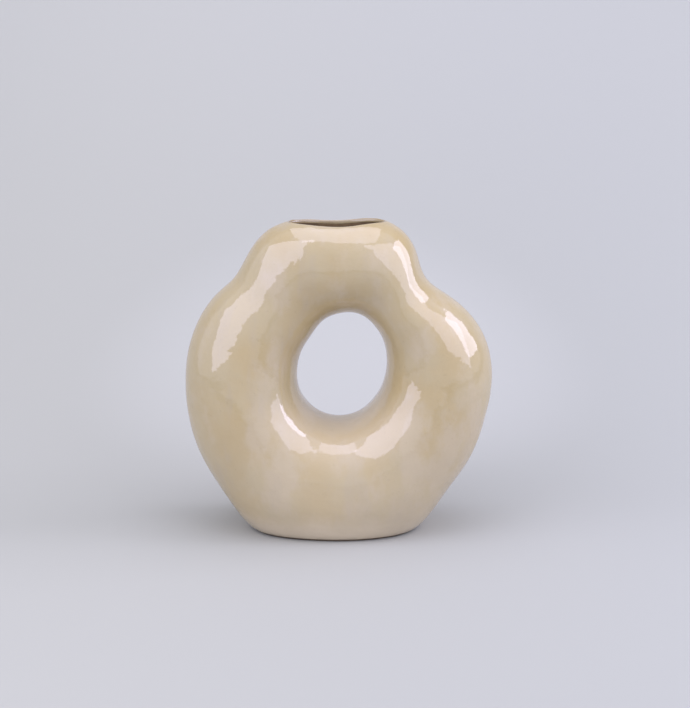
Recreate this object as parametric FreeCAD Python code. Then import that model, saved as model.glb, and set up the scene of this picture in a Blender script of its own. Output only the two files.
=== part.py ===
import FreeCAD, Part
import math
import os
from FreeCAD import Vector

# A donut vase: one hollow ring of fired clay, standing on a flat foot, with an oval mouth cut
# through its crown. A glaze coats the outside and rolls over the lip. A liner glaze seals the
# cavity. X runs across the ring, Y through its hole from the front to the back, and Z up. The
# floor is at Z zero, and the middle of the ring's width and depth is at X and Y zero.

# Outline, in millimetres
outline_reach = 100.0         # what the outline's shares multiply
hole_reach = 30.0             # what the hole's shares multiply
half_depth = 47.0             # what the depth's shares multiply
foot_cut = 17.0               # how far the floor cuts into the outline's underside

# Wall, foot and mouth, in millimetres
clay_wall = 4.5
outer_coat = 0.5
liner_coat = 0.4
clay_floor = 7.0              # between the cavity and the surface that the vase stands on
dry_band = 1.5                # bare clay between that surface and the outer coat
foot_ring = 7.0               # width of the ring that the vase stands on
foot_recess = 2.0             # depth of the recess inside that ring
mouth_length = 61.0
mouth_width = 32.0
mouth_offset = -1.2           # of the mouth's centre along X
lip_round = 1.8               # radius of the glazed lip
neck_round = 1.2              # radius where the neck opens into the cavity
overrun = 20.0                # how far a cutting tool passes what it cuts
touch = 0.001                 # how near an edge's middle is to the faces that it joins

# Bearings are in degrees about the hole's centre, from +X towards +Z.
full_turn = 360.0

# Outline of the ring, seen from the front: two lobes, a head between two notches, and a
# belly that the floor cuts flat
outline_shares = [
    (0, 0.994), (17, 0.952), (29, 0.890), (38, 0.837), (45, 0.816), (52, 0.847), (59, 0.933),
    (66, 0.994), (73, 1.018), (90, 0.980), (109, 1.032), (119, 1.027), (127, 0.981),
    (133, 0.940), (138, 0.920), (143, 0.928), (150, 0.957), (165, 0.998), (183, 1.027),
    (198, 1.057), (213, 1.097), (228, 1.148), (241, 1.226), (255, 1.240), (270, 1.240),
    (284, 1.220), (297, 1.176), (310, 1.085), (323, 1.047), (338, 1.012), (352, 0.998),
]

# Outline of the hole, which is an egg that leans to the right
hole_shares = [
    (0, 0.986), (20, 1.045), (40, 1.140), (60, 1.235), (75, 1.275), (90, 1.240), (110, 1.135),
    (130, 0.990), (150, 0.945), (180, 0.950), (210, 1.035), (240, 1.120), (270, 1.144),
    (300, 1.070), (330, 0.985),
]

# Half depth of the ring, from front to back: slim at the head and widest at the belly
depth_shares = [
    (0, 0.850), (45, 0.715), (70, 0.665), (110, 0.665), (138, 0.715), (180, 0.850),
    (210, 0.930), (240, 0.985), (270, 1.000), (300, 0.985), (330, 0.930),
]

# Smoothness of the ring's surface
sections = 90                 # around the ring, an even number
quarter_points = 6            # around a quarter of each section
section_points = 4 * quarter_points
spline_share = 1 / 6          # weight of a cubic spline's neighbouring poles


def profile(shares, reach):
    """A smooth closed curve about the hole's centre, as a function of the bearing."""
    points = []
    bearings = []
    for bearing, share in shares:
        turn = math.radians(bearing)
        points.append(Vector(math.cos(turn), 0, math.sin(turn)) * (share * reach))
        bearings.append(bearing)
    curve = Part.BSplineCurve()
    curve.interpolate(Points=points, PeriodicFlag=True, Parameters=bearings + [full_turn])
    return curve.value


def ring_points():
    """Points of the ring's surface: elliptical sections between the hole and the outline."""
    outline = profile(outline_shares, outline_reach)
    hole = profile(hole_shares, hole_reach)
    depth = profile(depth_shares, half_depth)
    bearings = [full_turn * step / sections for step in range(sections)]
    across = [outline(bearing).x for bearing in bearings]
    underside = min(outline(bearing).z for bearing in bearings)
    centre = Vector(-(max(across) + min(across)) / 2, 0, -underside - foot_cut)
    rows = []
    for bearing in bearings:
        middle = centre + (outline(bearing) + hole(bearing)) / 2
        radial = (outline(bearing) - hole(bearing)) / 2
        axial = Vector(0, depth(bearing).Length, 0)
        row = []
        for step in range(section_points):
            turn = 2 * math.pi * step / section_points
            row.append(middle + radial * math.cos(turn) + axial * math.sin(turn))
        rows.append(row)
    return rows


def pulled_back(points):
    """Poles whose closed cubic spline passes through the points."""
    poles = []
    for place, point in enumerate(points):
        after = points[(place + 1) % len(points)]
        poles.append(point + (point * 2 - points[place - 1] - after) * spline_share)
    return poles


def ring_surface(rows):
    """The smooth surface, closed both ways, through rows of points."""
    rows = [pulled_back(row) for row in rows]
    columns = [pulled_back(column) for column in zip(*rows)]
    surface = Part.BSplineSurface()
    surface.buildFromPolesMultsKnots(
        list(zip(*columns)), [1] * (sections + 1), [1] * (section_points + 1),
        list(range(sections + 1)), list(range(section_points + 1)), True, True, 3, 3)
    return surface


def surface_below(surface, depth):
    """The ring's surface, moved into the ring by a depth."""
    rows = []
    for u in range(sections):
        rows.append([surface.value(u, v) + surface.normal(u, v) * depth
                     for v in range(section_points)])
    return ring_surface(rows)


def ring_solid(surface):
    """The solid ring. Its four patches meet clear of the mouth and the foot."""
    faces = []
    for u in (0, sections / 2):
        for v in (quarter_points, 3 * quarter_points):
            patch = surface.copy()
            patch.segment(u, u + sections / 2, v, v + section_points / 2)
            faces.append(patch.toShape())
    skin = Part.Compound(faces)
    skin.sewShape()
    return outward(Part.Solid(skin.Shells[0]))


def outward(solid):
    """The solid with its faces pointing out of it."""
    if solid.Volume < 0:
        solid.reverse()
    return solid


def nested(outside, inside):
    """What lies between two solids, one of them wholly inside the other."""
    return outward(Part.makeSolid(Part.Compound(
        [outside.Shells[0], inside.Shells[0].reversed()])))


def above(shape, height):
    """The part of a shape that is above a height."""
    box = shape.BoundBox
    block = Part.makeBox(
        box.XLength + 2 * overrun, box.YLength + 2 * overrun, box.ZMax - height + overrun,
        Vector(box.XMin - overrun, box.YMin - overrun, height))
    return shape.common(block)


def mouth_column(crown, growth):
    """The oval column of the mouth, from the cavity to above the crown."""
    foot = Vector(mouth_offset, 0, crown - mouth_width - growth)
    oval = Part.Ellipse(foot, mouth_length / 2 + growth, mouth_width / 2 + growth)
    face = Part.Face(Part.Wire([oval.toShape()]))
    return face.extrude(Vector(0, 0, mouth_width + overrun + 2 * growth))


def rounded_rim(body, column, ring, radius):
    """The body with its edge between the column's wall and the ring's surface rounded."""
    edges = []
    for edge in body.Edges:
        spot = Part.Vertex(edge.valueAt((edge.FirstParameter + edge.LastParameter) / 2))
        on_column = spot.distToShape(column.Shells[0])[0] < touch
        on_ring = spot.distToShape(ring.Shells[0])[0] < touch
        if on_column and on_ring:
            edges.append(edge)
    return body.makeFillet(radius, edges)


def foot_hollow(body):
    """What the foot's recess takes from the body, inside the ring that it stands on."""
    foot = min(body.Faces, key=lambda face: face.BoundBox.ZMax)
    rim = foot.OuterWire.discretize(Number=sections + 1)[:-1]
    points = []
    for place, point in enumerate(rim):
        along = rim[(place + 1) % sections] - rim[place - 1]
        inward = Vector(-along.y, along.x, 0).normalize()
        if inward * (foot.CenterOfMass - point) < 0:
            inward = -inward
        points.append(point + inward * foot_ring)
    outline = Part.BSplineCurve()
    outline.interpolate(Points=points, PeriodicFlag=True)
    face = Part.Face(Part.Wire([outline.toShape()]))
    return face.extrude(Vector(0, 0, foot_recess))


def make_parts():
    """The fired clay, the outer coat and the liner coat."""
    surface = ring_surface(ring_points())
    cavity_depth = outer_coat + clay_wall
    coat_ring = ring_solid(surface)
    clay_ring = ring_solid(surface_below(surface, outer_coat))
    middle_ring = ring_solid(surface_below(surface, outer_coat + clay_wall / 2))
    cavity_ring = ring_solid(surface_below(surface, cavity_depth))
    liner_ring = ring_solid(surface_below(surface, cavity_depth + liner_coat))
    crown = coat_ring.BoundBox.ZMax
    coat_mouth = mouth_column(crown, 0)
    clay_mouth = mouth_column(crown, outer_coat)
    plug = mouth_column(crown, 2 * outer_coat)

    # The clay: a ring with a cavity, its mouth opened and its foot hollowed
    clay_cavity = above(cavity_ring, clay_floor)
    clay = nested(above(clay_ring, 0), clay_cavity).cut(clay_mouth)
    clay = rounded_rim(clay, clay_mouth, clay_ring, lip_round - outer_coat)
    clay = rounded_rim(clay, clay_mouth, cavity_ring, neck_round - liner_coat)
    clay = clay.cut(foot_hollow(clay))

    # The outer coat: over the outside and the lip, down to the middle of the mouth's wall
    coat_form = rounded_rim(coat_ring.cut(coat_mouth), coat_mouth, coat_ring, lip_round)
    clay_form = rounded_rim(
        clay_ring.cut(clay_mouth), clay_mouth, clay_ring, lip_round - outer_coat)
    coat = nested(coat_form, clay_form).cut(plug.common(middle_ring))

    # The liner: from the middle of the mouth's wall over the whole cavity
    clay_hollow = rounded_rim(
        clay_cavity.fuse(clay_mouth), clay_mouth, cavity_ring, neck_round - liner_coat)
    liner_hollow = above(liner_ring, clay_floor + liner_coat).fuse(coat_mouth)
    liner_hollow = rounded_rim(liner_hollow, coat_mouth, liner_ring, neck_round)
    liner = nested(clay_hollow, liner_hollow).cut(plug.cut(middle_ring))
    return {"clay_body": clay, "outer_glaze": above(coat, dry_band), "inner_glaze": liner}


os.makedirs("parts", exist_ok=True)
for name, shape in make_parts().items():
    shape.exportStep(f"parts/{name}.step")
    print(name, len(shape.Solids), "solid", round(shape.Volume / 1000, 1), "cm3")
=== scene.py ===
import math

import bmesh
import bpy
import numpy as np
from bpy.props import FloatProperty, FloatVectorProperty, PointerProperty
from mathutils import Matrix, Vector


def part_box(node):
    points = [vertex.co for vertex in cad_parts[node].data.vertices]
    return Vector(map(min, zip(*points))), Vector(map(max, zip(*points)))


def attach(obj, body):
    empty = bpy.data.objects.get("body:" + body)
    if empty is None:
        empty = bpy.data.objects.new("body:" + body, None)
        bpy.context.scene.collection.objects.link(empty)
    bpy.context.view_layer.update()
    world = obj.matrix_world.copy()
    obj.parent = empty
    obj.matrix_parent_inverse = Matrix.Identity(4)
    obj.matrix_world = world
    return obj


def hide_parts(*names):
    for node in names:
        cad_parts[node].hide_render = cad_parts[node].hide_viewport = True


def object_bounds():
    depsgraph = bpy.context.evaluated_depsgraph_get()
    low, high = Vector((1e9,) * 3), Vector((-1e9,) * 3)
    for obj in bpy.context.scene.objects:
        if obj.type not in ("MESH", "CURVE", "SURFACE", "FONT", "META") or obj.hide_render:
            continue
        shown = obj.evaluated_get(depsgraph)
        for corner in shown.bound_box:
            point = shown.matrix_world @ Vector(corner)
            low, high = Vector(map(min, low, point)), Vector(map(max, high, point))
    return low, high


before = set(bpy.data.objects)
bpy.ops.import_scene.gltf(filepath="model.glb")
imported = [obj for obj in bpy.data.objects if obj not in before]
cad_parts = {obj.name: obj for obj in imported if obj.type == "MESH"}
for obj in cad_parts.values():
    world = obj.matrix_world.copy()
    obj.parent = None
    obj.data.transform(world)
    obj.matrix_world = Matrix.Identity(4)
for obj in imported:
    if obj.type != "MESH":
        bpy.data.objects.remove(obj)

bl_info = {
    "name": "Donut vase",
    "version": (1, 0, 0),
    "blender": (4, 5, 0),
    "location": "View3D > Sidebar > Vase",
    "description": "Throws, glazes and lights a hollow ring-shaped vase",
    "category": "Object",
}

# A donut vase in three pieces: the fired clay ring, the glaze that coats its outside and rolls
# over the lip, and the liner glaze inside. X runs across the ring, Y through its hole from the
# front to the back, and Z up from the surface that the vase stands on. Everything is in metres.

CAD_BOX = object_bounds()
COAT_LOW, COAT_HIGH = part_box("outer_glaze")

# Bearings are in degrees about the hole's centre, from +X towards +Z.
FULL_TURN = 360

# Outline of the ring, seen from the front: two lobes, a head between two notches, and a
# belly that the floor cuts flat
OUTLINE_SHARES = (
    (0, 0.994), (17, 0.952), (29, 0.890), (38, 0.837), (45, 0.816), (52, 0.847), (59, 0.933),
    (66, 0.994), (73, 1.018), (90, 0.980), (109, 1.032), (119, 1.027), (127, 0.981),
    (133, 0.940), (138, 0.920), (143, 0.928), (150, 0.957), (165, 0.998), (183, 1.027),
    (198, 1.057), (213, 1.097), (228, 1.148), (241, 1.226), (255, 1.240), (270, 1.240),
    (284, 1.220), (297, 1.176), (310, 1.085), (323, 1.047), (338, 1.012), (352, 0.998),
)

# Outline of the hole, an egg that leans to the right
HOLE_SHARES = (
    (0, 0.986), (20, 1.045), (40, 1.140), (60, 1.235), (75, 1.275), (90, 1.240), (110, 1.135),
    (130, 0.990), (150, 0.945), (180, 0.950), (210, 1.035), (240, 1.120), (270, 1.144),
    (300, 1.070), (330, 0.985),
)

# Half depth of the ring, from front to back: slim at the notches and widest at the belly
DEPTH_SHARES = (
    (0, 0.850), (45, 0.690), (64, 0.657), (90, 0.712), (116, 0.657), (138, 0.690), (180, 0.850),
    (210, 0.930), (240, 0.985), (270, 1.000), (300, 0.985), (330, 0.930),
)

# How finely the ring is thrown and finished
SECTIONS = 144            # around the ring
SECTION_POINTS = 48       # around each section
SKIN_LEVELS = 1           # of subdivision, for the skins
GUIDE_LEVELS = 2          # of subdivision, for the surfaces that a rim is laid on
MOUTH_SHARE = 0.97        # of the mouth's reach, inside which whole faces are taken out
EASING = 0.014            # how far out from the mouth the crown's mesh is evened out
EASING_ROUNDS = 30
EASING_STRENGTH = 0.5     # of each round
ROUNDING_STEPS = 5        # across a rounded edge
HEM_STEPS = 2             # across the rounded edges where the outer coat ends
CRISP_ANGLE = 50          # in degrees, past which an edge is shaded crisp
FLATNESS = 0.00001        # how far a point may be from a flat face that it lies on
CUT_NEARNESS = 0.0000001  # to a flat cut, within which a point is kept where it is

# Small gaps and edges
COAT_GAP = 0.0001         # between the outer coat and the liner, inside the mouth
FOOT_CHAMFER = 0.0006     # on the foot's outer edge

# Where the ring is fuller or lower than plain elliptical sections make it, in bearings
CROWN = 90                # the ring's top
HEAD_SPAN = 45            # on each side of the top, the head
DIP_BEARING = 74          # where the lip dips a little, at its front right
DIP_SPAN = 23             # on each side of that, the dip
UNDERSIDE = 270           # the ring's lowest part
BELLY_SPAN = 150          # on each side of that, the belly's filling

# The sweep that the vase stands on
SWEEP_WIDTH = 6.0
SWEEP_FRONT = -3.0
SWEEP_BACK = 1.05
SWEEP_HEIGHT = 3.0
SWEEP_CURVE = 1.0         # radius between the floor and the backdrop
SWEEP_STEPS = 32          # across that curve
SIDE_LIGHT_REACH = 0.35         # how far to each side the painted light changes from the left colour to the right
SWEEP_FADE = 0.45         # height over which painted light makes the paper paler
FADE_SHARE = 0.33         # of the paler colour, at that height
GLOW_PLACE = 0.32         # how far behind the vase a spot of painted light lies on the paper
GLOW_WIDTH = 0.24         # how far to each side that spot reaches
GLOW_DEPTH = 0.26         # how far to the front and the back it reaches
GLOW_SHARE = 0.28         # of the paler colour, in the spot's middle

SENSOR_WIDTH = 36         # the camera's, in millimetres


def smooth_shares(table):
    """The table's shares as a smooth closed function of the bearing, a periodic cubic spline."""
    knots = np.array([row[0] for row in table] + [FULL_TURN], float)
    values = np.array([row[1] for row in table] + [table[0][1]])
    steps = np.diff(knots)
    count = len(steps)
    matrix = np.zeros((count, count))
    slopes = np.diff(values) / steps
    for place in range(count):
        matrix[place, place - 1] += steps[place - 1]
        matrix[place, place] += 2 * (steps[place - 1] + steps[place])
        matrix[place, (place + 1) % count] += steps[place]
    bends = np.linalg.solve(matrix, 6 * (slopes - np.roll(slopes, 1)))
    bends = np.append(bends, bends[0])

    def share(bearing):
        bearing = bearing % FULL_TURN
        place = min(int(np.searchsorted(knots, bearing, side="right")) - 1, count - 1)
        past = bearing - knots[place]
        left = knots[place + 1] - bearing
        step = steps[place]
        return (
            (bends[place] * left ** 3 + bends[place + 1] * past ** 3) / (6 * step)
            + (values[place] / step - bends[place] * step / 6) * left
            + (values[place + 1] / step - bends[place + 1] * step / 6) * past)

    return share


outline_share = smooth_shares(OUTLINE_SHARES)
hole_share = smooth_shares(HOLE_SHARES)
depth_share = smooth_shares(DEPTH_SHARES)


def direction(bearing):
    """The direction of a bearing, seen from the front."""
    turn = math.radians(bearing)
    return Vector((math.cos(turn), 0, math.sin(turn)))


BEARINGS = [FULL_TURN * step / SECTIONS for step in range(SECTIONS)]
OUTLINE = [direction(bearing) * float(outline_share(bearing)) for bearing in BEARINGS]
OUTLINE_RIGHT_SHARE = max(point.x for point in OUTLINE)
OUTLINE_LEFT_SHARE = min(point.x for point in OUTLINE)
OUTLINE_LOW_SHARE = min(point.z for point in OUTLINE)


class VaseForm(bpy.types.PropertyGroup):
    """Sizes of the thrown ring, its wall, foot and mouth."""
    outline_reach: FloatProperty(
        name="Outline reach", description="What the outline's shares multiply", unit="LENGTH",
        default=(COAT_HIGH.x - COAT_LOW.x) / (OUTLINE_RIGHT_SHARE - OUTLINE_LEFT_SHARE))
    hole_reach: FloatProperty(
        name="Hole reach", description="What the hole's shares multiply", unit="LENGTH",
        default=0.030)
    half_depth: FloatProperty(
        name="Half depth", description="Half the belly's depth, from front to back",
        unit="LENGTH", default=(COAT_HIGH.y - COAT_LOW.y) / 2)
    foot_cut: FloatProperty(
        name="Foot cut", description="How far the floor cuts into the outline's underside",
        unit="LENGTH", default=0.017)
    clay_wall: FloatProperty(
        name="Clay wall", description="Thickness of the fired clay", unit="LENGTH",
        default=0.0045)
    outer_coat: FloatProperty(
        name="Outer coat", description="Thickness of the glaze outside", unit="LENGTH",
        default=0.0005)
    liner_coat: FloatProperty(
        name="Liner coat", description="Thickness of the glaze inside", unit="LENGTH",
        default=0.0004)
    clay_floor: FloatProperty(
        name="Clay floor", description="Height of the cavity's floor", unit="LENGTH",
        default=0.007)
    dry_band: FloatProperty(
        name="Dry band", description="Bare clay between the floor and the glaze",
        unit="LENGTH", default=0.0015)
    foot_ring: FloatProperty(
        name="Foot ring", description="Width of the ring that the vase stands on",
        unit="LENGTH", default=0.007)
    foot_recess: FloatProperty(
        name="Foot recess", description="Depth of the recess inside that ring",
        unit="LENGTH", default=0.002)
    mouth_length: FloatProperty(
        name="Mouth length", description="Length of the oval mouth", unit="LENGTH",
        default=0.061)
    mouth_width: FloatProperty(
        name="Mouth width", description="Width of the oval mouth", unit="LENGTH",
        default=0.032)
    mouth_offset: FloatProperty(
        name="Mouth offset", description="Place of the mouth's middle along X",
        unit="LENGTH", default=-0.0012)
    lip_round: FloatProperty(
        name="Lip rounding", description="Radius of the glazed lip", unit="LENGTH",
        default=0.0018)
    neck_round: FloatProperty(
        name="Neck rounding", description="Radius where the neck opens into the cavity",
        unit="LENGTH", default=0.0012)
    crown_lift: FloatProperty(
        name="Crown lift", description="How much fuller than an ellipse the head's shoulders are",
        unit="LENGTH", default=0.0040)
    lip_dip: FloatProperty(
        name="Lip dip", description="How much lower the lip is at its front right",
        unit="LENGTH", default=0.0026)
    belly_fill: FloatProperty(
        name="Belly fill", description="How much fuller than an ellipse the belly is by the hole",
        unit="LENGTH", default=0.0034)
    hand_wave: FloatProperty(
        name="Hand wave", description="Depth of the soft dents that the hands left",
        unit="LENGTH", default=0.0007)
    hand_span: FloatProperty(
        name="Hand span", description="Width of those dents", unit="LENGTH",
        default=0.030)


def form():
    """The vase's sizes."""
    return bpy.context.scene.vase_form


def ring_centre():
    """The hole's centre."""
    sizes = form()
    middle = (OUTLINE_RIGHT_SHARE + OUTLINE_LEFT_SHARE) / 2 * sizes.outline_reach
    return Vector((-middle, 0, -OUTLINE_LOW_SHARE * sizes.outline_reach - sizes.foot_cut))


# Modelling


def take(piece):
    """Leaves edit mode, deselects everything, and makes one piece selected and active."""
    active = bpy.context.view_layer.objects.active
    if active and active.mode != "OBJECT":
        bpy.ops.object.mode_set(mode="OBJECT")
    bpy.ops.object.select_all(action="DESELECT")
    piece.select_set(True)
    bpy.context.view_layer.objects.active = piece


def edit(piece):
    """Opens a piece in edit mode, with nothing selected."""
    take(piece)
    bpy.ops.object.mode_set(mode="EDIT")
    bpy.ops.mesh.select_mode(type="VERT")
    bpy.ops.mesh.select_all(action="DESELECT")


def pick(piece, wanted, kind="VERT"):
    """Selects, in edit mode, the vertices, edges or faces that are wanted."""
    bpy.ops.mesh.select_mode(type=kind)
    bpy.ops.mesh.select_all(action="DESELECT")
    mesh = bmesh.from_edit_mesh(piece.data)
    for part in {"VERT": mesh.verts, "EDGE": mesh.edges, "FACE": mesh.faces}[kind]:
        if wanted(part):
            part.select_set(True)
    mesh.select_flush_mode()
    bmesh.update_edit_mesh(piece.data)


def apply(piece, kind, **settings):
    """Adds a modifier to a piece and applies it."""
    take(piece)
    modifier = piece.modifiers.new(kind.title(), kind)
    for name, value in settings.items():
        setattr(modifier, name, value)
    bpy.ops.object.modifier_apply(modifier=modifier.name)


def refined(piece, levels):
    """Subdivides a piece into a smoother one."""
    apply(piece, "SUBSURF", levels=levels, render_levels=levels)


def laid_on(piece, guide, vertices, plumb):
    """Lays vertices of a piece onto a guide: plumb up or down, or else where it is nearest."""
    piece.vertex_groups.new(name="laid").add(vertices, 1, "REPLACE")
    apply(piece, "SHRINKWRAP", target=guide, vertex_group="laid",
          wrap_method="PROJECT" if plumb else "NEAREST_SURFACEPOINT",
          use_project_z=plumb, use_positive_direction=plumb, use_negative_direction=plumb)
    piece.vertex_groups.clear()


def copy_of(piece, name):
    """A copy of a piece, with its own mesh."""
    take(piece)
    bpy.ops.object.duplicate(linked=False)
    copy = bpy.context.view_layer.objects.active
    copy.name = name
    copy.data.name = name
    return copy


def turn_round(piece):
    """Turns a piece's faces round, so that its outside becomes its inside."""
    edit(piece)
    bpy.ops.mesh.select_all(action="SELECT")
    bpy.ops.mesh.flip_normals()


def discard(piece):
    """Removes a piece that only served to shape others."""
    mesh = piece.data
    bpy.data.objects.remove(piece)
    bpy.data.meshes.remove(mesh)


def thrown_ring():
    """The closed ring, section by section: a torus whose sections are moved and widened."""
    sizes = form()
    centre = ring_centre()
    reach = (sizes.outline_reach + sizes.hole_reach) / 2
    radius = (sizes.outline_reach - sizes.hole_reach) / 2
    bpy.ops.object.select_all(action="DESELECT")
    bpy.ops.mesh.primitive_torus_add(
        location=centre, rotation=(math.pi / 2, 0, 0), major_segments=SECTIONS,
        minor_segments=SECTION_POINTS, major_radius=reach, minor_radius=radius)
    ring = bpy.context.view_layer.objects.active
    ring.name = "ring"
    bpy.ops.object.transform_apply(location=True, rotation=True, scale=True)
    edit(ring)
    for step, bearing in enumerate(BEARINGS):
        outline = float(outline_share(bearing)) * sizes.outline_reach
        hole = float(hole_share(bearing)) * sizes.hole_reach
        depth = float(depth_share(bearing)) * sizes.half_depth
        section = range(step * SECTION_POINTS, (step + 1) * SECTION_POINTS)
        pick(ring, lambda vertex: vertex.index in section)
        wide = (outline - hole) / 2 / radius
        bpy.ops.transform.resize(
            value=(wide, depth / radius, wide),
            center_override=centre + direction(bearing) * reach)
        bpy.ops.transform.translate(
            value=direction(bearing) * ((outline + hole) / 2 - reach))
    take(ring)
    flattened_crown(ring)
    filled_belly(ring)
    return ring


def swelling(bearing, middle, span):
    """A smooth swelling from 0 to 1 and back, over a span on each side of a bearing."""
    aside = abs((bearing - middle + FULL_TURN / 2) % FULL_TURN - FULL_TURN / 2)
    return (1 + math.cos(math.pi * min(aside / span, 1))) / 2


def swollen(ring, share, strength, way):
    """Moves the ring's surface by a share of a strength. The share depends on the bearing and
    on the turn round the section, which starts at the outline and goes by the front."""
    group = ring.vertex_groups.new(name="swelling")
    for step, bearing in enumerate(BEARINGS):
        for point in range(SECTION_POINTS):
            turn = 2 * math.pi * point / SECTION_POINTS
            group.add([step * SECTION_POINTS + point], share(bearing, turn), "REPLACE")
    apply(ring, "DISPLACE", direction=way, vertex_group="swelling", mid_level=0,
          strength=strength)
    ring.vertex_groups.clear()


def flattened_crown(ring):
    """Lifts the head's front and back shoulders, so that the crown is flat round the mouth."""
    sizes = form()
    fullest = 2 / 3 / math.sqrt(3)    # the most that a cosine times its sine squared comes to

    def share(bearing, turn):
        head = swelling(bearing, CROWN, HEAD_SPAN)
        dip = swelling(bearing, DIP_BEARING, DIP_SPAN) * sizes.lip_dip / sizes.crown_lift
        shoulder = max(math.cos(turn), 0) * math.sin(turn) ** 2 / fullest
        return shoulder * (head - dip * max(math.sin(turn), 0))

    swollen(ring, share, sizes.crown_lift, "Z")


def filled_belly(ring):
    """Fills out the belly between its widest line and the hole, in front and at the back."""

    def share(bearing, turn):
        inside = 1 if math.cos(turn) < 0 else 0
        return inside * math.sin(2 * turn) ** 2 * swelling(bearing, UNDERSIDE, BELLY_SPAN)

    swollen(ring, share, form().belly_fill, "NORMAL")


def dented(piece):
    """Presses the soft, uneven dents of hand work into a piece."""
    sizes = form()
    clouds = bpy.data.textures.get("hand_work") or bpy.data.textures.new("hand_work", "CLOUDS")
    clouds.noise_scale = sizes.hand_span
    clouds.noise_depth = 1
    apply(piece, "DISPLACE", texture=clouds, texture_coords="LOCAL", mid_level=0.5,
          strength=sizes.hand_wave)


def sunk(piece, depth):
    """Moves a piece's surface inwards."""
    apply(piece, "DISPLACE", mid_level=0, strength=-depth)


def in_mouth(point, growth):
    """How far out a point is, seen from above, as a share of the grown mouth's own reach."""
    sizes = form()
    across = (point.x - sizes.mouth_offset) / (sizes.mouth_length / 2 + growth)
    along = point.y / (sizes.mouth_width / 2 + growth)
    return math.hypot(across, along)


def rim_of(mesh):
    """The vertices on a mesh's open edges."""
    return [vertex for vertex in mesh.verts if vertex.is_boundary]


def open_mouth(piece, guide):
    """Cuts the oval mouth through a ring's crown, with an even rim that lies on the guide."""
    sizes = form()
    crown = ring_centre().z + sizes.hole_reach
    edit(piece)
    pick(piece, lambda face: face.calc_center_median().z > crown and face.normal.z > 0
         and in_mouth(face.calc_center_median(), 0) < MOUTH_SHARE, "FACE")
    bpy.ops.mesh.delete(type="FACE")

    # The stepped rim goes onto the oval, with its vertices evenly spaced
    half_length = sizes.mouth_length / 2
    half_width = sizes.mouth_width / 2
    mesh = bmesh.from_edit_mesh(piece.data)
    bearings = {}
    for vertex in rim_of(mesh):
        bearings[vertex.index] = math.atan2(
            vertex.co.y / half_width, (vertex.co.x - sizes.mouth_offset) / half_length)
    order = sorted(bearings, key=bearings.get)
    drift = np.mean([bearings[index] - 2 * math.pi * place / len(order)
                     for place, index in enumerate(order)])
    for place, index in enumerate(order):
        turn = drift + 2 * math.pi * place / len(order)
        mesh = bmesh.from_edit_mesh(piece.data)
        mesh.verts.ensure_lookup_table()
        spot = mesh.verts[index].co.copy()
        pick(piece, lambda vertex: vertex.index == index)
        bpy.ops.transform.translate(value=(
            sizes.mouth_offset + half_length * math.cos(turn) - spot.x,
            half_width * math.sin(turn) - spot.y, 0))

    # The crown round it is evened out, then laid back onto the guide
    rim = set(order)

    def near(vertex):
        return (vertex.index not in rim and vertex.co.z > crown
                and in_mouth(vertex.co, EASING) < 1)

    pick(piece, near)
    bpy.ops.mesh.vertices_smooth(factor=EASING_STRENGTH, repeat=EASING_ROUNDS)
    take(piece)
    shoulder = [vertex.index for vertex in piece.data.vertices if near(vertex)]
    laid_on(piece, guide, shoulder, False)
    laid_on(piece, guide, order, True)
    return order


def turned_in(piece, rim, depth, rounding):
    """Runs a rim straight down into the mouth, and rounds the edge that it had."""
    pick(piece, lambda edge: edge.is_boundary, "EDGE")
    bpy.ops.mesh.extrude_edges_move(TRANSFORM_OT_translate={"value": (0, 0, -depth)})
    rounded_loop(piece, rim, rounding)


def rounded_loop(piece, rim, rounding):
    """Rounds the closed edge that runs through the rim's vertices."""
    rim = set(rim)
    pick(piece, lambda edge: all(vertex.index in rim for vertex in edge.verts), "EDGE")
    bpy.ops.mesh.bevel(offset=rounding, segments=ROUNDING_STEPS, affect="EDGES",
                       clamp_overlap=False)


def cut_flat(piece, height, fill):
    """Takes away what is below a height, and closes the cut if asked."""
    edit(piece)
    bpy.ops.mesh.select_all(action="SELECT")
    bpy.ops.mesh.bisect(plane_co=(0, 0, height), plane_no=(0, 0, 1), clear_inner=True,
                        use_fill=fill, threshold=CUT_NEARNESS)
    take(piece)


def drawn_on(piece, reach, rise):
    """Draws the foot's open edge on: towards its middle by a reach, and up by a rise."""
    top = form().clay_floor
    pick(piece, lambda edge: edge.is_boundary and all(vertex.co.z < top for vertex in edge.verts),
         "EDGE")
    mesh = bmesh.from_edit_mesh(piece.data)
    spots = np.array([vertex.co for vertex in rim_of(mesh) if vertex.co.z < top])
    middle = (spots.max(0) + spots.min(0)) / 2
    half = (spots.max(0) - spots.min(0)) / 2
    bpy.ops.mesh.extrude_edges_move(TRANSFORM_OT_translate={"value": (0, 0, rise)})
    bpy.ops.transform.resize(
        value=(1 - reach / half[0], 1 - reach / half[1], 1), center_override=middle)


def outside_skin(ring, guide):
    """The glazed surface: the ring's outside, its lip and the upper half of the mouth's wall."""
    sizes = form()
    skin = copy_of(ring, "outside_skin")
    rim = open_mouth(skin, guide)
    edit(skin)
    turned_in(skin, rim, sizes.outer_coat + sizes.clay_wall / 2, sizes.lip_round)
    refined(skin, SKIN_LEVELS)
    dented(skin)


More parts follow.
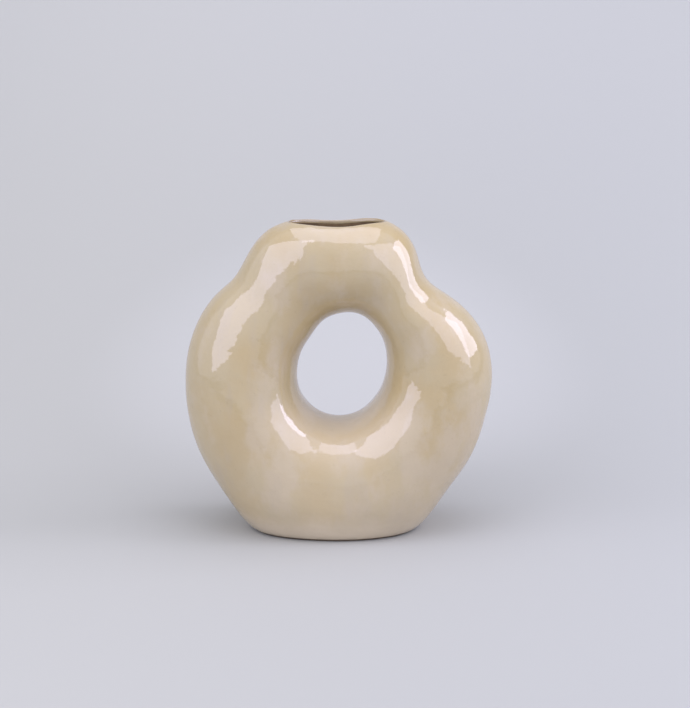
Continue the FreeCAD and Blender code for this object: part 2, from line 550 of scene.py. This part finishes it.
def inside_skin(ring, guide):
    """The liner's surface: the cavity, and the lower half of the mouth's wall."""
    sizes = form()
    skin = copy_of(ring, "inside_skin")
    sunk(skin, sizes.outer_coat + sizes.clay_wall + sizes.liner_coat)
    ceiling = copy_of(skin, "ceiling")
    refined(ceiling, GUIDE_LEVELS)
    rim = open_mouth(skin, ceiling)
    discard(ceiling)
    edit(skin)
    pick(skin, lambda edge: edge.is_boundary, "EDGE")
    bpy.ops.mesh.extrude_edges_move(TRANSFORM_OT_translate={"value": (0, 0, sizes.clay_wall)})
    take(skin)
    count = len(skin.data.vertices)
    laid_on(skin, guide, range(count - len(rim), count), True)
    edit(skin)
    pick(skin, lambda vertex: vertex.is_boundary)
    bpy.ops.transform.translate(
        value=(0, 0, -sizes.outer_coat - sizes.clay_wall / 2 - COAT_GAP))
    rounded_loop(skin, rim, sizes.neck_round)
    refined(skin, SKIN_LEVELS)
    dented(skin)
    cut_flat(skin, sizes.clay_floor + sizes.liner_coat, True)


def finished(piece, node, paint):
    """Smooths and paints a closed piece, and puts it in a CAD node's place."""
    take(piece)
    mesh = bmesh.new()
    mesh.from_mesh(piece.data)
    closed = all(edge.is_manifold for edge in mesh.edges)
    mesh.free()
    if not closed:
        raise RuntimeError(f"{piece.name} has an edge without a face on each side")
    bpy.ops.object.shade_smooth_by_angle(angle=math.radians(CRISP_ANGLE))
    piece.data.materials.clear()
    piece.data.materials.append(paint)
    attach(piece, "root")
    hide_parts(node)


def form_skins():
    """The outside and inside skins, made once and copied for each piece."""
    if "outside_skin" not in bpy.data.objects:
        ring = thrown_ring()
        guide = copy_of(ring, "guide")
        refined(guide, GUIDE_LEVELS)
        outside_skin(ring, guide)
        inside_skin(ring, guide)
        discard(guide)
        discard(ring)
    return bpy.data.objects["outside_skin"], bpy.data.objects["inside_skin"]


class VASE_OT_outer_glaze(bpy.types.Operator):
    """Adds the glaze coat over the outside and the lip"""
    bl_idname = "vase.outer_glaze"
    bl_label = "Outer glaze"

    def execute(self, context):
        sizes = form()
        coat = copy_of(form_skins()[0], "glazed_skin")
        cut_flat(coat, sizes.dry_band, False)
        apply(coat, "SOLIDIFY", thickness=sizes.outer_coat, offset=-1, use_even_offset=True)

        # Both edges of its hem, just above the floor, are rounded
        edit(coat)
        hem = sizes.dry_band + FLATNESS
        pick(coat, lambda edge: all(vertex.co.z < hem for vertex in edge.verts), "EDGE")
        bpy.ops.mesh.region_to_loop()
        bpy.ops.mesh.bevel(offset=sizes.outer_coat / 3, segments=HEM_STEPS, affect="EDGES")
        finished(coat, "outer_glaze", beige_glaze())
        return {"FINISHED"}


class VASE_OT_clay_body(bpy.types.Operator):
    """Adds the fired clay: its outside, its cavity, and the foot with its recess"""
    bl_idname = "vase.clay_body"
    bl_label = "Clay body"

    def execute(self, context):
        sizes = form()
        outside, inside = form_skins()
        clay = copy_of(outside, "fired_body")
        sunk(clay, sizes.outer_coat)

        # The foot: a ring that the vase stands on, round a shallow recess
        cut_flat(clay, FOOT_CHAMFER, False)
        edit(clay)
        drawn_on(clay, FOOT_CHAMFER, -FOOT_CHAMFER)
        drawn_on(clay, sizes.foot_ring, 0)
        drawn_on(clay, 0, sizes.foot_recess)
        bpy.ops.mesh.edge_face_add()

        # The cavity, a coat's thickness outside the liner's surface, joined to the outside
        # through the mouth
        cavity = copy_of(inside, "cavity")
        sunk(cavity, -sizes.liner_coat)
        turn_round(cavity)
        take(clay)
        cavity.select_set(True)
        bpy.ops.object.join()
        edit(clay)
        pick(clay, lambda edge: edge.is_boundary, "EDGE")
        bpy.ops.mesh.bridge_edge_loops()
        finished(clay, "clay_body", fired_clay())
        return {"FINISHED"}


class VASE_OT_inner_glaze(bpy.types.Operator):
    """Adds the liner glaze over the cavity and the mouth's wall"""
    bl_idname = "vase.inner_glaze"
    bl_label = "Inner glaze"

    def execute(self, context):
        sizes = form()
        liner = copy_of(form_skins()[1], "cavity_liner")
        turn_round(liner)
        apply(liner, "SOLIDIFY", thickness=sizes.liner_coat, offset=-1, use_even_offset=True)
        finished(liner, "inner_glaze", liner_glaze())
        return {"FINISHED"}


# Materials


class Strand:
    """A node's output, on which Python's operators add Math nodes."""

    def __init__(self, paint, socket):
        self.paint = paint
        self.socket = socket

    def math(self, operation, first, second):
        return self.paint.node(
            "ShaderNodeMath", {"operation": operation}, {0: first, 1: second})

    def __add__(self, other):
        return self.math("ADD", self, other)

    def __radd__(self, other):
        return self.math("ADD", other, self)

    def __sub__(self, other):
        return self.math("SUBTRACT", self, other)

    def __rsub__(self, other):
        return self.math("SUBTRACT", other, self)

    def __mul__(self, other):
        return self.math("MULTIPLY", self, other)

    def __rmul__(self, other):
        return self.math("MULTIPLY", other, self)

    def __truediv__(self, other):
        return self.math("DIVIDE", self, other)

    def __pow__(self, other):
        return self.math("POWER", self, other)


class Paint:
    """One material, and the one method that adds a node to it."""

    def __init__(self, name):
        self.material = bpy.data.materials.new(name)
        self.material.use_nodes = True
        self.tree = self.material.node_tree
        self.tree.nodes.clear()

    def node(self, kind, settings, values, output=0):
        """Adds a node: its settings first, then its sockets' values or links."""
        node = self.tree.nodes.new(kind)
        for name, setting in settings.items():
            setattr(node, name, setting)
        for name, value in values.items():
            if isinstance(value, Strand):
                self.tree.links.new(value.socket, node.inputs[name])
            else:
                node.inputs[name].default_value = value
        return Strand(self, node.outputs[output]) if len(node.outputs) else None

    def place(self):
        """The point on the piece."""
        return self.node("ShaderNodeTexCoord", {}, {}, "Object")

    def axis(self, name):
        """One coordinate of the point on the piece."""
        return self.node("ShaderNodeSeparateXYZ", {}, {0: self.place()}, name)

    def oval(self, axes, middle, reach):
        """How far out the point is in an oval, squared: 0 in its middle and 1 on its edge."""
        parts = [((self.axis(axis) - start) / far) ** 2
                 for axis, start, far in zip(axes, middle, reach)]
        return parts[0] + parts[1]

    def noise(self, scale, detail, rough, stretch=(1, 1, 1)):
        """Soft noise from 0 to 1, about 0.5 in the middle."""
        where = self.node("ShaderNodeMapping", {}, {"Vector": self.place(), "Scale": stretch})
        return self.node("ShaderNodeTexNoise", {}, {
            "Vector": where, "Scale": scale, "Detail": detail, "Roughness": rough})

    def between(self, value, low, high):
        """How far a value is from low to high, from 0 to 1, eased at both ends."""
        return self.node("ShaderNodeMapRange", {"interpolation_type": "SMOOTHSTEP"}, {
            "Value": value, "From Min": low, "From Max": high})

    def blend(self, share, first, second):
        """A colour between two colours. A Mix node takes them as inputs 6 and 7, and gives
        the result as output 2."""
        return self.node("ShaderNodeMix", {"data_type": "RGBA"},
                         {0: share, 6: first, 7: second}, 2)

    def bump(self, height, distance, strength=1.0):
        """A normal from a height map, with its depth in metres."""
        return self.node("ShaderNodeBump", {}, {
            "Height": height, "Distance": distance, "Strength": strength})

    def finish(self, **values):
        """Adds the surface shader and the material's output."""
        sockets = {name.replace("_", " "): value for name, value in values.items()}
        shader = self.node("ShaderNodeBsdfPrincipled", {}, sockets)
        self.node("ShaderNodeOutputMaterial", {}, {"Surface": shader})
        return self.material


def opaque(colour):
    """A colour with its alpha of one."""
    return (colour[0], colour[1], colour[2], 1)


class VaseFinish(bpy.types.PropertyGroup):
    """Colours of the glazes and the clay, and of the painted light and painted shade on the outer
    glaze.
    """
    glaze: FloatVectorProperty(
        name="Glaze", description="The outer glaze's main colour", subtype="COLOR",
        default=(0.495, 0.402, 0.244), min=0, max=1)
    glaze_warm: FloatVectorProperty(
        name="Warm glaze", description="The outer glaze where it ran thin and honey-coloured",
        subtype="COLOR", default=(0.480, 0.370, 0.198), min=0, max=1)
    glaze_pale: FloatVectorProperty(
        name="Pale glaze", description="The outer glaze where it is thick and milky",
        subtype="COLOR", default=(0.525, 0.432, 0.305), min=0, max=1)
    glaze_edge: FloatVectorProperty(
        name="Edge glaze", description="Brown of the glaze at an edge, in the liner and the clay",
        subtype="COLOR", default=(0.210, 0.140, 0.080), min=0, max=1)
    glaze_grey: FloatVectorProperty(
        name="Grey glaze", description="The outer glaze where the brush left a greyer streak",
        subtype="COLOR", default=(0.450, 0.375, 0.285), min=0, max=1)
    # Painted light: a paler colour laid near the foot and on the hole's ledge, standing in for
    # light from the floor and through the hole
    painted_light_glaze: FloatVectorProperty(
        name="Pooled glaze", description="The outer glaze where it gathers, pale and thick",
        subtype="COLOR", default=(0.680, 0.570, 0.425), min=0, max=1)
    # Painted shade: near-black brown on the mouth's wall below the lip, where little light falls
    throat_shade_colour: FloatVectorProperty(
        name="Throat glaze", description="The outer glaze where it thins out inside the mouth",
        subtype="COLOR", default=(0.060, 0.036, 0.020), min=0, max=1)
    glaze_lustre: FloatVectorProperty(
        name="Glaze lustre", description="Tint of the outer glaze's reflections",
        subtype="COLOR", default=(0.90, 0.88, 1.00), min=0, max=1)
    clay: FloatVectorProperty(
        name="Clay", description="The fired clay's colour", subtype="COLOR",
        default=(0.190, 0.140, 0.105), min=0, max=1)
    liner: FloatVectorProperty(
        name="Liner", description="The liner glaze's colour", subtype="COLOR",
        default=(0.110, 0.070, 0.042), min=0, max=1)


# Where the outer glaze changes, in metres. A pair says where a change starts and ends.
PALER_RIGHT_SIDE = (0.020, 0.070)       # it gets paler, right of the mouth's middle
PALER_RIGHT_HEIGHT = (0.060, 0.100)     # and less so again, up the right limb
FOOT_LIGHT_HEIGHT = 0.022               # painted light lies on the glaze below this
FOOT_LIGHT_WAVE = 0.020                 # how unevenly that painted light's upper edge runs
LOW_LIGHT_HEIGHT = 0.100                # fainter painted light reaches up to this
LEDGE_HEIGHT = (-0.036, -0.004)   # from the hole's middle, the painted light on the ledge fades out
THROAT_SHADE_DROP = (0.0034, 0.0046)    # below the crown, painted shade darkens the mouth's wall
THROAT_SHADE_LEAN = 0.11                # how much sooner it does, for each metre to the right
THROAT_END = (0.012, 0.016)       # below the crown, the lip's brown and the painted shade end

# The same, in squared shares of the hole's reach and of the mouth's
LEDGE_REACH = (1.5, 4.4)          # the painted light on the ledge fades out, away from the hole
LIP_START = (0.98, 1.01)          # it breaks brown over the lip
LIP_END = (1.04, 1.16)            # and covers it again
THROAT_RIM = (0.97, 1.00)         # the mouth's wall ends

# How strongly its other colours come in
PALER_RIGHT_ADD = 0.14                  # added to the milky clouds' noise, right of the mouth's middle
FOOT_LIGHT_SHARE = 0.90                 # of the painted light's colour, just above the foot
LOW_LIGHT_SHARE = 0.26                  # of it, at the foot, and less with the height
LEDGE_SHARE = 0.50                # of it, on the ledge
LIP_LEAST = 0.10                  # of the edge's brown, over the lip
LIP_MORE = 0.80                   # more of it, as the clouds thicken

# Its relief: the height of its swells in metres, and shares of that height for the rest
SWELLS = 0.0005
RIPPLES = 0.14
WRINKLES = 0.22                   # on top of the ripples, in wrinkled patches
GRAINS = 0.02
PITS = 0.05

# Where the bare clay's sandy colour ends, above the floor, and how much of it comes in
BARE_HEIGHT = (0.0006, 0.0022)
SAND_SHARE = 0.25


def clouded(paint, drift, grain):
    """The outer glaze's colour: beige and honey clouds, then milky ones, which are more on the
    right, and grey ones over them, and fine brown specks."""
    colours = bpy.context.scene.vase_finish
    across = paint.axis("X") - form().mouth_offset
    brush = paint.noise(scale=60, detail=3, rough=0.6, stretch=(1, 1, 0.25))
    # Paler right of the mouth's middle, and less so up the right limb
    milky = paint.between(across, *PALER_RIGHT_SIDE) * (
        1 - paint.between(paint.axis("Z"), *PALER_RIGHT_HEIGHT))
    clouds = paint.noise(scale=19, detail=3, rough=0.55)
    tone = paint.blend(paint.between(clouds, 0.38, 0.62), opaque(colours.glaze_warm),
                       opaque(colours.glaze))
    for cloud, low, high, share, colour in (
            (drift + milky * PALER_RIGHT_ADD, 0.47, 0.68, 0.75, colours.glaze_pale),
            (brush, 0.52, 0.70, 0.30, colours.glaze_grey),
            (grain, 0.60, 0.80, 0.15, colours.glaze_edge)):
        tone = paint.blend(paint.between(cloud, low, high) * share, tone, opaque(colour))
    return tone


def with_painted_light(paint, tone, drift):
    """Painted light: paler towards the foot, and on the ledge where the hole's inside faces up."""
    colours = bpy.context.scene.vase_finish
    height = paint.axis("Z")
    # Painted light, strong just above the foot and fainter up the lower belly
    foot_light = 1 - paint.between(height + (drift - 0.5) * FOOT_LIGHT_WAVE, 0, FOOT_LIGHT_HEIGHT)
    low_light = 1 - paint.between(height, 0, LOW_LIGHT_HEIGHT)
    share = foot_light * FOOT_LIGHT_SHARE + low_light * LOW_LIGHT_SHARE
    tone = paint.blend(share, tone, opaque(colours.painted_light_glaze))
    centre = ring_centre()
    reach = form().hole_reach
    around = paint.oval("XZ", (centre.x, centre.z), (reach, reach))
    # Painted light on the ledge inside the hole
    ledge = (1 - paint.between(around, *LEDGE_REACH)) * (
        1 - paint.between(height - centre.z, *LEDGE_HEIGHT))
    return paint.blend(ledge * LEDGE_SHARE, tone, opaque(colours.painted_light_glaze))


def lip_brown_and_throat_shade(paint, tone, drift):
    """Brown where the glaze breaks over the lip's edge, and painted shade, near black, on the
    mouth's wall inside.
    """
    colours = bpy.context.scene.vase_finish
    sizes = form()
    reach = (sizes.mouth_length / 2, sizes.mouth_width / 2)
    oval = paint.oval("XY", (sizes.mouth_offset, 0), reach)
    across = paint.axis("X") - sizes.mouth_offset
    drop = COAT_HIGH.z - paint.axis("Z")
    near = 1 - paint.between(drop, *THROAT_END)
    lip = paint.between(oval, *LIP_START) * (1 - paint.between(oval, *LIP_END)) * near
    share = lip * (LIP_LEAST + drift * LIP_MORE)
    tone = paint.blend(share, tone, opaque(colours.glaze_edge))
    # Painted shade down the mouth's wall, starting sooner towards the right
    dark = paint.between(drop + across * THROAT_SHADE_LEAN, *THROAT_SHADE_DROP)
    mouth_shade = (1 - paint.between(oval, *THROAT_RIM)) * near * dark
    return paint.blend(mouth_shade, tone, opaque(colours.throat_shade_colour))


def rippled(paint, grain):
    """The outer glaze's relief: soft swells, ripples that are stronger in patches, and pits."""
    swell = paint.noise(scale=75, detail=2, rough=0.4)
    ripple = paint.noise(scale=210, detail=2, rough=0.5)
    pits = paint.between(paint.noise(scale=260, detail=1, rough=0.5), 0.70, 0.80)
    wrinkled = paint.between(paint.noise(scale=34, detail=1, rough=0.5), 0.60, 0.70)
    return swell + ripple * (RIPPLES + wrinkled * WRINKLES) + grain * GRAINS - pits * PITS


def beige_glaze():
    """High-gloss glaze in cloudy beige, honey and milk tones, with a faint lustre, painted light
    near the foot and on the hole's ledge, and painted shade inside the mouth.
    """
    colours = bpy.context.scene.vase_finish
    paint = Paint("beige_glaze")
    drift = paint.noise(scale=38, detail=4, rough=0.6, stretch=(1, 1, 0.6))
    grain = paint.noise(scale=420, detail=3, rough=0.6)
    tone = clouded(paint, drift, grain)
    tone = with_painted_light(paint, tone, drift)
    tone = lip_brown_and_throat_shade(paint, tone, drift)
    return paint.finish(
        Base_Color=tone, Roughness=0.02 + grain * 0.02, IOR=1.85,
        Specular_Tint=opaque(colours.glaze_lustre),
        Normal=paint.bump(rippled(paint, grain), distance=SWELLS))


def liner_glaze():
    """Thinner glaze inside, in soft brown clouds."""
    colours = bpy.context.scene.vase_finish
    paint = Paint("liner_glaze")
    clouds = paint.noise(scale=45, detail=3, rough=0.6)
    dimples = paint.noise(scale=140, detail=2, rough=0.5)
    tone = paint.blend(paint.between(clouds, 0.4, 0.65), opaque(colours.liner),
                       opaque(colours.glaze_edge))
    return paint.finish(
        Base_Color=tone, Roughness=0.22 + clouds * 0.08, IOR=1.5,
        Normal=paint.bump(dimples, distance=0.0003, strength=0.6))


def fired_clay():
    """Matt clay, a little sandy in colour where the foot is bare."""
    colours = bpy.context.scene.vase_finish
    paint = Paint("fired_clay")
    sand = paint.noise(scale=1500, detail=3, rough=0.7)
    bare = 1 - paint.between(paint.axis("Z"), *BARE_HEIGHT)
    sandy = paint.blend(paint.between(sand, 0.35, 0.70), opaque(colours.clay),
                        opaque(colours.glaze_edge))
    tone = paint.blend(bare * SAND_SHARE, opaque(colours.clay), sandy)
    return paint.finish(
        Base_Color=tone, Roughness=0.78 + sand * 0.15, IOR=1.45,
        Normal=paint.bump(sand, distance=0.0003, strength=0.8))


# Stage


class VaseStudio(bpy.types.PropertyGroup):
    """The camera, the softboxes, the sweep and the room's light."""
    camera_place: FloatVectorProperty(
        name="Camera", description="The camera's place", unit="LENGTH", subtype="XYZ",
        default=(0.0042, -0.963, 0.323))
    camera_pitch: FloatProperty(
        name="Camera pitch", description="How far the camera looks down", unit="ROTATION",
        default=math.radians(12.1))
    camera_lens: FloatProperty(
        name="Camera lens", description="Focal length in millimetres", unit="CAMERA",
        default=78.26)
    softbox_reach: FloatProperty(
        name="Softbox distance", description="From the vase to each softbox", unit="LENGTH",
        default=1.1)
    softbox_radiance: FloatProperty(
        name="Softbox brightness", description="Radiance of each softbox's face",
        default=1.6)
    softbox_tint: FloatVectorProperty(
        name="Softbox tint", description="Colour of the softboxes' light", subtype="COLOR",
        default=(0.97, 0.95, 1.13), min=0, max=2)
    # Painted light: the sweep's colours go from left to right, and paler high up and behind the
    # vase, standing in for uneven light
    sweep_left: FloatVectorProperty(
        name="Sweep, left", description="Colour of the floor and backdrop on the left",
        subtype="COLOR", default=(0.468, 0.467, 0.446), min=0, max=1)
    sweep_right: FloatVectorProperty(
        name="Sweep, right", description="Colour of the floor and backdrop on the right",
        subtype="COLOR", default=(0.422, 0.427, 0.424), min=0, max=1)
    sweep_high: FloatVectorProperty(
        name="Sweep, high", description="The paler colour high up and behind the vase",
        subtype="COLOR", default=(0.640, 0.640, 0.650), min=0, max=1)
    room: FloatVectorProperty(
        name="Room", description="Colour of the even light from all round", subtype="COLOR",
        default=(0.62, 0.635, 0.68), min=0, max=1)
    room_strength: FloatProperty(
        name="Room light", description="Strength of the even light from all round",
        default=1.23)


# Each softbox: azimuth and elevation of its middle, its angle across and up, how far it leans
# over, and its share of the softboxes' brightness. Azimuth 0 is towards the camera, and 90
# towards +X.
SOFTBOXES = {
    "left_softbox": (-51, 33, 45, 50, 20, 1.05),
    "right_softbox": (57, 30, 52, 42, -14, 0.87),
    "right_lamp": (91, 28, 34, 34, 0, 1.8),
    "top_softbox": (0, 88, 42, 56, 0, 0.82),
}


def softbox(name, azimuth, elevation, across, up, lean, share):
    """Adds a softbox that covers given angles, seen from the vase's middle."""
    studio = bpy.context.scene.vase_studio
    reach = studio.softbox_reach
    target = (Vector(CAD_BOX[0]) + Vector(CAD_BOX[1])) / 2
    turn = math.radians(azimuth)
    rise = math.radians(elevation)
    lamp = bpy.data.lights.new(name, "AREA")
    lamp.shape = "RECTANGLE"
    lamp.color = studio.softbox_tint
    lamp.size = 2 * reach * math.tan(math.radians(across) / 2)
    lamp.size_y = 2 * reach * math.tan(math.radians(up) / 2)

    # A lamp's energy is its face's radiance times pi and its area
    lamp.energy = studio.softbox_radiance * share * math.pi * lamp.size * lamp.size_y
    box = bpy.data.objects.new(name, lamp)
    bpy.context.scene.collection.objects.link(box)
    box.location = target + reach * Vector((
        math.sin(turn) * math.cos(rise), -math.cos(turn) * math.cos(rise), math.sin(rise)))
    away = (box.location - target).to_track_quat("Z", "Y").to_matrix()
    box.rotation_euler = (away @ Matrix.Rotation(math.radians(lean), 3, "Z")).to_euler()


def sweep_paper():
    """Matt seamless paper with painted light: its colour goes from the left's to the right's, and
    it is paler high up and in a spot behind the vase.
    """
    studio = bpy.context.scene.vase_studio
    paint = Paint("sweep_paper")
    # Painted light across the paper, by side, by height and in a spot behind the vase
    side = paint.between(paint.axis("X"), -SIDE_LIGHT_REACH, SIDE_LIGHT_REACH)
    tone = paint.blend(side, opaque(studio.sweep_left), opaque(studio.sweep_right))
    rise = paint.between(paint.axis("Z"), 0, SWEEP_FADE)
    tone = paint.blend(rise * FADE_SHARE, tone, opaque(studio.sweep_high))
    spot = paint.oval("XY", (0, GLOW_PLACE), (GLOW_WIDTH, GLOW_DEPTH))
    glow = 1 - paint.between(spot, 0, 1)
    tone = paint.blend(glow * GLOW_SHARE, tone, opaque(studio.sweep_high))
    return paint.finish(Base_Color=tone, Roughness=0.9)


def hang_sweep():
    """Adds the sweep: a sheet that is floor and backdrop, with a wide curve between them."""
    bpy.ops.object.select_all(action="DESELECT")
    bpy.ops.mesh.primitive_plane_add(size=1)
    sweep = bpy.context.view_layer.objects.active
    sweep.name = "sweep"
    edit(sweep)
    bpy.ops.mesh.select_all(action="SELECT")
    bpy.ops.transform.resize(value=(SWEEP_WIDTH, SWEEP_BACK - SWEEP_FRONT, 1))
    bpy.ops.transform.translate(value=(0, (SWEEP_BACK + SWEEP_FRONT) / 2, 0))
    far = SWEEP_BACK - FLATNESS
    pick(sweep, lambda edge: all(vertex.co.y > far for vertex in edge.verts), "EDGE")
    bpy.ops.mesh.extrude_edges_move(TRANSFORM_OT_translate={"value": (0, 0, SWEEP_HEIGHT)})
    pick(sweep, lambda edge: all(
        vertex.co.y > far and vertex.co.z < FLATNESS for vertex in edge.verts), "EDGE")
    bpy.ops.mesh.bevel(offset=SWEEP_CURVE, segments=SWEEP_STEPS, affect="EDGES")
    take(sweep)
    bpy.ops.object.shade_smooth()
    sweep.data.materials.append(sweep_paper())


def light_room():
    """Lights the stage evenly from all round."""
    studio = bpy.context.scene.vase_studio
    world = bpy.data.worlds.new("room")
    bpy.context.scene.world = world
    world.use_nodes = True
    background = world.node_tree.nodes["Background"]
    background.inputs["Color"].default_value = opaque(studio.room)
    background.inputs["Strength"].default_value = studio.room_strength


def set_camera():
    """Adds the camera, in front of the vase and looking a little down at it."""
    studio = bpy.context.scene.vase_studio
    lens = bpy.data.cameras.new("camera")
    lens.sensor_fit = "HORIZONTAL"
    lens.sensor_width = SENSOR_WIDTH
    lens.lens = studio.camera_lens
    camera = bpy.data.objects.new("camera", lens)
    bpy.context.scene.collection.objects.link(camera)
    camera.location = studio.camera_place
    camera.rotation_euler = (math.pi / 2 - studio.camera_pitch, 0, 0)
    bpy.context.scene.camera = camera


class VASE_OT_stage(bpy.types.Operator):
    """Adds the sweep, the softboxes, the room's light and the camera"""
    bl_idname = "vase.stage"
    bl_label = "Stage"

    def execute(self, context):
        hang_sweep()
        for name, numbers in SOFTBOXES.items():
            softbox(name, *numbers)
        light_room()
        set_camera()
        context.scene.view_settings.view_transform = "Standard"
        return {"FINISHED"}


class VASE_PT_panel(bpy.types.Panel):
    """Lists the steps that build the vase, and its sizes and colours"""
    bl_idname = "VASE_PT_panel"
    bl_label = "Donut vase"
    bl_space_type = "VIEW_3D"
    bl_region_type = "UI"
    bl_category = "Vase"

    def draw(self, context):
        for step in STEPS:
            self.layout.operator(step.bl_idname)
        for group in (context.scene.vase_form, context.scene.vase_finish,
                      context.scene.vase_studio):
            for name in type(group).__annotations__:
                self.layout.prop(group, name)


STEPS = (VASE_OT_outer_glaze, VASE_OT_clay_body, VASE_OT_inner_glaze, VASE_OT_stage)
GROUPS = {"vase_form": VaseForm, "vase_finish": VaseFinish, "vase_studio": VaseStudio}


def register():
    """Adds the sizes and colours, the steps and the panel to Blender."""
    for kind in (*GROUPS.values(), *STEPS, VASE_PT_panel):
        bpy.utils.register_class(kind)
    for name, kind in GROUPS.items():
        setattr(bpy.types.Scene, name, PointerProperty(type=kind))


def unregister():
    """Takes them out again."""
    for name in GROUPS:
        delattr(bpy.types.Scene, name)
    for kind in reversed((*GROUPS.values(), *STEPS, VASE_PT_panel)):
        bpy.utils.unregister_class(kind)


def main():
    """Builds the pieces and the stage."""
    register()
    bpy.ops.vase.outer_glaze()
    bpy.ops.vase.clay_body()
    bpy.ops.vase.inner_glaze()
    for name in ("outside_skin", "inside_skin"):
        discard(bpy.data.objects[name])
    bpy.ops.vase.stage()


if __name__ == "__main__":
    main()
